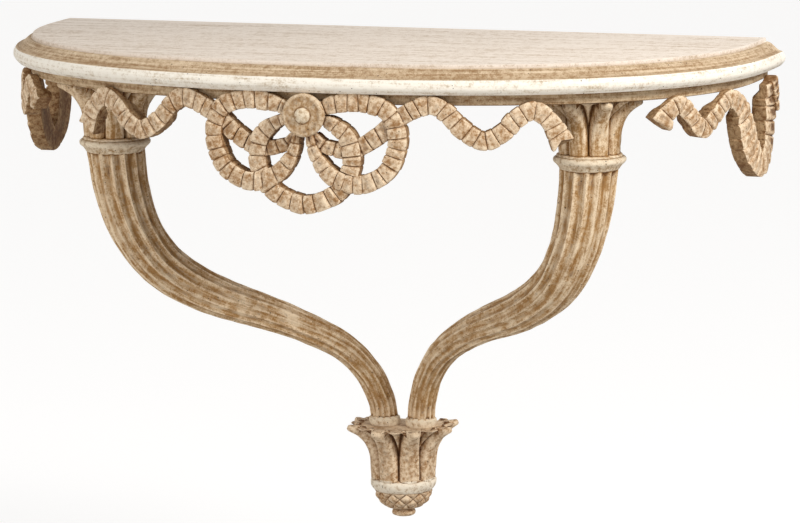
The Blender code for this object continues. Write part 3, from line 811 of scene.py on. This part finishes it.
def make_rosette():
    body, rise = ROSETTE_THICKNESS, BUTTON_RISE
    edge, button = ROSETTE_RADIUS, BUTTON_RADIUS
    profile = [(edge * 0.96, 0.0), (edge * 0.99, body * 0.20), (edge, body * 0.45),
               (edge * 0.995, body * 0.70), (edge * 0.97, body * 0.88), (edge * 0.93, body * 0.97),
               (edge * 0.88, body), (edge * 0.83, body * 0.97), (edge * 0.78, body * 0.94),
               (edge * 0.68, body * 0.93), (edge * 0.56, body * 0.93), (button * 1.34, body * 0.92),
               (button * 1.20, body * 0.88), (button * 1.10, body * 0.86), (button * 1.03, body * 0.90),
               (button, body * 0.98)]
    for share in (0.2, 0.4, 0.6, 0.8, 0.95):
        profile.append((button * math.sqrt(1 - share ** 2), body * 0.98 + (rise + body * 0.02) * share))
    back_y = -(DEPTH - RIBBON_INSET) - GAP
    rosette = turned("rosette_boss", profile, 96, (ROSETTE_SHIFT, back_y, ROSETTE_Z), facing_front=True,
                     bump=worn_round(0.0005, 0.6, 90))
    mark_relief(rosette, 5, 0.0009)
    mark_flow(rosette, lambda point: point)
    boss = limed("rosette_finish", wood=tone(190, 156, 114), lime=tone(224, 204, 176), grime_and_shade=0.0, holes=0.35)
    knob = limed("rosette_button", wood=tone(196, 166, 128), lime=tone(232, 216, 190), cover=0.20)
    settle(rosette, "rosette", [boss, knob], sharp=45)
    paint_where(rosette, 1,
                lambda middle: math.hypot(middle.x - ROSETTE_SHIFT, middle.z - ROSETTE_Z) < button)


# Leaves, legs and cup

# Outer line of a crown, as shares: of the flare outwards, and of the height
CROWN_LINE = [(0.00, 0.00), (0.02, 0.18), (0.06, 0.38), (0.15, 0.55), (0.32, 0.70), (0.56, 0.82),
              (0.80, 0.895), (0.94, 0.93), (1.00, 0.962), (0.985, 0.990), (0.93, 1.00)]
GROOVE_DEPTH = 0.0100
LEAF_DOME = 0.0034


def smooth_step(low, high, value):
    share = min(1.0, max(0.0, (value - low) / (high - low)))
    return share * share * (3 - 2 * share)


def leaf_carving(angle, first, up):
    """Depth cut into the crown, and how far its lip reaches, at an angle and a height share.

    Each leaf is a strap with a rounded head. The groove beside it forks round a small leaf between heads.
    """
    sector = (angle - first) * LEAVES / (2 * math.pi)
    across = 2 * abs(sector - round(sector))
    groove_at = 1.0 - 0.50 * smooth_step(0.34, 1.06, up) ** 1.15 - 0.16 * smooth_step(0.86, 1.0, up)
    wide = 0.165 + 0.045 * smooth_step(0.3, 0.8, up)
    groove = math.exp(-((across - groove_at) / wide) ** 2)
    between = smooth_step(groove_at + 0.04, groove_at + 0.22, across)
    dome = LEAF_DOME * (1 - min(1.0, across / groove_at) ** 2) - 0.0018 * between
    cut = GROOVE_DEPTH * groove * (0.50 + 0.70 * smooth_step(0.05, 0.6, up)) - dome
    lip = 1 - smooth_step(0.68, 0.95, up) * (0.26 * groove + 0.14 * between)
    return cut, lip


def crown(name, centre, base_z, height, neck, tip, first, inside):
    """A flared crown of carved leaves with a rolled lip; inside lists its way back in, in shares."""
    rows = [(out, up, 0) for out, up in CROWN_LINE]
    path = smooth_path(rows, CROWN_STEPS)
    slope = np.gradient(path[:, :2] * np.array([tip - neck, height]), axis=0)
    slope /= np.hypot(*slope.T)[:, None]
    count = POINTS_PER_LEAF * LEAVES
    rings = []
    for (out, up, _), (ahead, rise) in zip(path, slope):
        ring = []
        for k in range(count):
            angle = 2 * math.pi * k / count
            cut, lip = leaf_carving(angle, first, up)
            cut += worn((math.cos(angle) * 3, math.sin(angle) * 3, up * 3), 0.0011, 1.0)
            cut += worn((math.cos(angle) * 9, math.sin(angle) * 9, up * 9), 0.0005, 1.0)
            cut *= 1 - 0.9 * smooth_step(0.93, 1.0, out) * smooth_step(0.93, 1.0, up)
            reach = neck + (tip - neck) * out * lip - rise * cut
            ring.append(Vector((centre[0] + reach * math.cos(angle), centre[1] + reach * math.sin(angle),
                                min(base_z + height * up + ahead * cut, base_z + height))))
        rings.append(ring)
    for out, up in inside:
        reach = neck + (tip - neck) * out
        rings.append([Vector((centre[0] + reach * math.cos(2 * math.pi * k / count),
                              centre[1] + reach * math.sin(2 * math.pi * k / count),
                              base_z + height * up)) for k in range(count)])
    return drawn(name, rings)


def flute_reach(angle, fade):
    """Radius share round a fluted shaft: shallow hollows between worn arrises, fading out in the collar."""
    across = (angle * FLUTES / (2 * math.pi)) % 1.0 * 2 - 1
    return 1 - FLUTE_DEPTH * fade * max(0.0, 1 - (abs(across) / 0.94) ** 1.8)


def unbent(line):
    """For a bent shaft, a function that gives each point's place as if the shaft stood straight."""
    tree = kdtree.KDTree(len(line))
    for index, (centre, _, _, _) in enumerate(line):
        tree.insert(centre, index)
    tree.balance()
    runs = [0.0]
    for (before, _, _, _), (after, _, _, _) in zip(line, line[1:]):
        runs.append(runs[-1] + (after - before).length)

    def place(point):
        index = tree.find(point)[1]
        centre, across, other, ahead = line[index]
        apart = point - centre
        return apart.dot(across), apart.dot(other), runs[index] + apart.dot(ahead)
    return place


def leg_shaft(side, word):
    top_z, foot_z = COLLAR_Z, LEG_FOOT_Z + FOOT_RING_HEIGHT
    rows = []
    for down, out, forward, thick in LEG_CURVE:
        rows.append((FOOT_SPREAD + (LEG_SPREAD - FOOT_SPREAD) * out, top_z + (foot_z - top_z) * down,
                     -CUP_FORWARD + (LEG_FORWARD_Y + CUP_FORWARD) * forward,
                     FOOT_RADIUS + (LEG_TOP_RADIUS - FOOT_RADIUS) * thick))
    path = smooth_path(rows, LEG_STEPS)
    points = [Vector((side * x, y, z)) for x, z, y, _ in path]
    across = Vector((1, 0, 0))
    rings = []
    line = []
    for index, (centre, row) in enumerate(zip(points, path)):
        ahead = points[min(index + 1, len(points) - 1)] - points[max(index - 1, 0)]
        if index in (0, len(points) - 1):
            ahead = Vector((0, 0, -1))
        ahead.normalize()
        across = (across - ahead * across.dot(ahead)).normalized()
        other = ahead.cross(across)
        line.append((centre, across, other, ahead))
        fade = min(1.0, index / 2)
        ring = []
        for k in range(POINTS_PER_FLUTE * FLUTES):
            angle = 2 * math.pi * k / (POINTS_PER_FLUTE * FLUTES)
            way = across * math.cos(angle) + other * math.sin(angle)
            reach = row[3] * flute_reach(angle, fade)
            ring.append(centre + way * (reach + worn(centre + way * reach, 0.0008, 0.022)))
        rings.append(ring)
    return drawn("fluted_leg_" + word, rings), line


def collar_profile():
    """From the shaft up: a long slope out to a round bead, and a thin step under the leaves."""
    low = COLLAR_Z - COLLAR_HEIGHT / 2
    out = COLLAR_RADIUS - LEG_TOP_RADIUS
    rows = [(-0.30, -0.06), (0.02, 0.02), (0.12, 0.12), (0.30, 0.24), (0.52, 0.36), (0.76, 0.46),
            (0.93, 0.55), (1.00, 0.66), (0.97, 0.77), (0.85, 0.86), (0.66, 0.92), (0.48, 0.945),
            (0.46, 1.06), (0.30, 1.13), (-0.40, 1.16)]
    return [(LEG_TOP_RADIUS + out * share, low + COLLAR_HEIGHT * up) for share, up in rows]


def make_legs():
    wood = limed("leg_finish", wood=tone(186, 145, 92), lime=tone(238, 216, 184), grime_shade_colour=tone(98, 62, 28),
                 cover=-0.06, grime_and_shade=0.10, grain=FINE_GRAIN, holes=0.42, proud=0.34, patch=1.0)
    pale = limed("leg_mouldings", wood=tone(194, 162, 120), lime=tone(234, 218, 192),
                 grime_shade_colour=tone(112, 76, 40), cover=0.10, grime_and_shade=0.0, holes=0.45)
    half_collar = COLLAR_HEIGHT / 2 + LEVEL_SLACK
    for side, word in ((-1, "left"), (1, "right")):
        shaft, line = leg_shaft(side, word)
        foot = line[-1][0]
        centre = (side * LEG_SPREAD, LEG_FORWARD_Y)
        ring = [(FOOT_RADIUS * 0.96, foot.z + 0.002), (FOOT_RING_RADIUS * 0.97, foot.z - 0.0005)]
        for share in (0.2, 0.4, 0.6, 0.8):
            ring.append((FOOT_RING_RADIUS * (0.975 + 0.025 * math.sin(math.pi * share)),
                         foot.z - FOOT_RING_HEIGHT * share))
        ring.append((FOOT_RING_RADIUS * 0.96, LEG_FOOT_Z))
        things = [shaft, turned("foot", ring[::-1], 64, (foot.x, foot.y, 0)),
                  turned("collar", collar_profile(), 96, (*centre, 0), bump=worn_round(0.0009, 0.5, 60)),
                  crown("capital", centre, CAPITAL_BASE_Z - LAP, CAPITAL_HEIGHT + LAP,
                        CAPITAL_NECK_RADIUS, CAPITAL_TIP_RADIUS, math.radians(CAPITAL_TURNS[word]),
                        [(0.55, 1.0)])]
        leg = fused("fluted_leg_" + word, things)
        mark_relief(leg, 6, 0.0008)
        mark_flow(leg, unbent(line))
        settle(leg, "leg_" + word, [wood, pale])
        paint_where(leg, 1, lambda middle: middle.z < foot.z + LAP
                    or abs(middle.z - COLLAR_Z) < half_collar)


LATTICE_TURNS = 6
LATTICE_DEPTH = 0.0042


def make_cup():
    centre = (0.0, -CUP_FORWARD)
    rise = CUP_LIP + LAP
    floor_up = (CUP_HEIGHT + LAP) / (CUP_HEIGHT + rise)
    inside = [(0.62, 0.985), (0.50, floor_up + 0.006), (0.34, floor_up)]
    band_neck = 0.86 * BAND_RADIUS
    band = [(band_neck, BAND_TOP_Z + 0.002)]
    for share, swell in ((0.0, 0.93), (0.05, 0.975), (0.16, 1.0), (0.34, 1.0), (0.52, 0.985), (0.70, 0.955),
                         (0.86, 0.915), (0.97, 0.875), (1.0, 0.85)):
        band.append((BAND_RADIUS * swell, BAND_TOP_Z - BAND_HEIGHT * share))
    narrow, wide = KNOB_RADIUS * 0.85, ACORN_RADIUS * 0.97
    acorn = [(ACORN_RADIUS * 0.86, ACORN_TOP_Z + 0.003)]
    for share in np.linspace(0.02, 0.97, 44):
        acorn.append((narrow + (wide - narrow) * math.sqrt(1 - share ** 1.9),
                      ACORN_TOP_Z - ACORN_HEIGHT * share))

    def lattice(angle, z):
        """Pillow-shaped diamonds between crossing grooves."""
        fall = (ACORN_TOP_Z - z) / ACORN_HEIGHT
        one = abs(math.sin(LATTICE_TURNS * angle + 0.5 + math.pi * 1.6 * fall))
        two = abs(math.sin(LATTICE_TURNS * angle + 0.5 - math.pi * 1.6 * fall))
        return LATTICE_DEPTH * ((one * two) ** 0.55 - 1) * min(1.0, max(0.0, (1 - fall) * 5))

    knob = [(KNOB_RADIUS * 0.7, KNOB_TOP_Z + 0.003)]
    for share in np.linspace(0.04, 0.985, 14):
        knob.append((KNOB_RADIUS * math.sqrt(1 - (2 * share - 1) ** 2) ** 0.55,
                     KNOB_TOP_Z - KNOB_HEIGHT * share))
    knob.append((0.003, KNOB_TOP_Z - KNOB_HEIGHT))
    things = [crown("leaf_cup", centre, BAND_TOP_Z - LAP, CUP_HEIGHT + rise, CUP_BODY_RADIUS - LAP,
                    CUP_TIP_RADIUS, math.radians(CUP_TURN), inside),
              turned("band", band[::-1], 120, (*centre, 0), bump=worn_round(0.0011, 0.4, 70)),
              turned("acorn", acorn[::-1], 216, (*centre, 0), bump=lattice),
              turned("knob", knob[::-1], 64, (*centre, 0), bump=worn_round(0.0009, 0.5, 70))]
    cup = cut_at_wall(fused("leaf_cup", things))
    floor_reach = CUP_BODY_RADIUS + 0.4 * (CUP_TIP_RADIUS - CUP_BODY_RADIUS)

    def off_axis(point):
        return math.hypot(point.x, point.y + CUP_FORWARD)

    def lifted(point):
        """The flat floor takes the lime as proud places do."""
        return 0.9 if point.z > CUP_FLOOR_Z - LAP and off_axis(point) < floor_reach else 0.0

    mark_relief(cup, 6, 0.0009, lifted)
    mark_flow(cup, lambda point: point)
    wood = limed("cup_finish", wood=tone(184, 144, 100), lime=tone(234, 211, 180), grime_shade_colour=tone(92, 56, 26),
                 cover=0.05, grime_and_shade=0.16, holes=0.46, proud=0.22, patch=0.8)
    pale = limed("cup_band", wood=tone(200, 174, 140), lime=tone(236, 224, 204), grime_shade_colour=tone(116, 82, 48),
                 cover=0.22, grime_and_shade=-0.04, holes=0.50, proud=0.25)
    settle(cup, "cup", [wood, pale])
    paint_where(cup, 1, lambda middle: ACORN_TOP_Z + LAP < middle.z < BAND_TOP_Z + LAP / 2
                and off_axis(middle) > band_neck)


# Studio: the camera's place in metres, its yaw, pitch and roll in degrees, its focal length in pixels

CAMERA_PLACE = (2.39, -6.92, 0.839)
CAMERA_TURN = (19.19, 9.19, -0.60)
FOCAL_LENGTH = 4757.5
PHOTO_WIDTH = 800
SENSOR_WIDTH = 36
FLOOR_Z = -0.95


def make_camera():
    yaw, pitch, roll = (math.radians(angle) for angle in CAMERA_TURN)
    ahead = Vector((-math.sin(yaw) * math.cos(pitch), math.cos(yaw) * math.cos(pitch), -math.sin(pitch)))
    level = Vector((math.cos(yaw), math.sin(yaw), 0))
    above = level.cross(ahead)
    right = level * math.cos(roll) + above * math.sin(roll)
    up = above * math.cos(roll) - level * math.sin(roll)
    lens = bpy.data.cameras.new("camera")
    lens.sensor_width = SENSOR_WIDTH
    lens.lens = FOCAL_LENGTH / PHOTO_WIDTH * SENSOR_WIDTH
    lens.clip_end = 100
    camera = bpy.data.objects.new("camera", lens)
    bpy.context.scene.collection.objects.link(camera)
    turn = Matrix((right, up, -ahead)).transposed().to_4x4()
    camera.matrix_world = Matrix.Translation(CAMERA_PLACE) @ turn
    bpy.context.scene.camera = camera


def area_light(name, place, size, power, colour=(1, 1, 1), aim=(0, -0.2, -0.25)):
    data = bpy.data.lights.new(name, "AREA")
    data.size = size
    data.energy = power
    data.color = colour
    light = bpy.data.objects.new(name, data)
    light.location = place
    light.rotation_euler = (Vector(aim) - Vector(place)).to_track_quat("-Z", "Y").to_euler()
    bpy.context.scene.collection.objects.link(light)


def make_studio():
    deselect()
    bpy.ops.mesh.primitive_plane_add(size=60, location=(0, 0, FLOOR_Z))
    floor = bpy.context.object
    floor.name = "studio_floor"
    paper = bpy.data.materials.new("studio_paper")
    paper.use_nodes = True
    shader = paper.node_tree.nodes["Principled BSDF"]
    shader.inputs["Base Color"].default_value = (0.45, 0.44, 0.43, 1)
    shader.inputs["Roughness"].default_value = 0.9
    shader.inputs["Emission Color"].default_value = (1, 1, 1, 1)
    seen = paper.node_tree.nodes.new("ShaderNodeLightPath").outputs["Is Camera Ray"]
    glow = calc(paper.node_tree, "MULTIPLY", seen, 0.62)
    paper.node_tree.links.new(glow, shader.inputs["Emission Strength"])
    floor.data.materials.append(paper)
    world = bpy.data.worlds.new("studio")
    world.use_nodes = True
    world.node_tree.nodes["Background"].inputs["Color"].default_value = (1, 1, 1, 1)
    world.node_tree.nodes["Background"].inputs["Strength"].default_value = 0.66
    bpy.context.scene.world = world
    area_light("key", (3.3, -1.8, 1.9), 1.0, 116, (1.0, 0.985, 0.96))
    area_light("fill", (-2.4, -3.6, -0.35), 1.0, 42, (1.0, 0.98, 0.95))
    bpy.context.scene.view_settings.view_transform = "Standard"


make_camera()
make_studio()
make_top()
make_apron()
make_bow()
make_side_ribbons()
make_rosette()
make_legs()
make_cup()
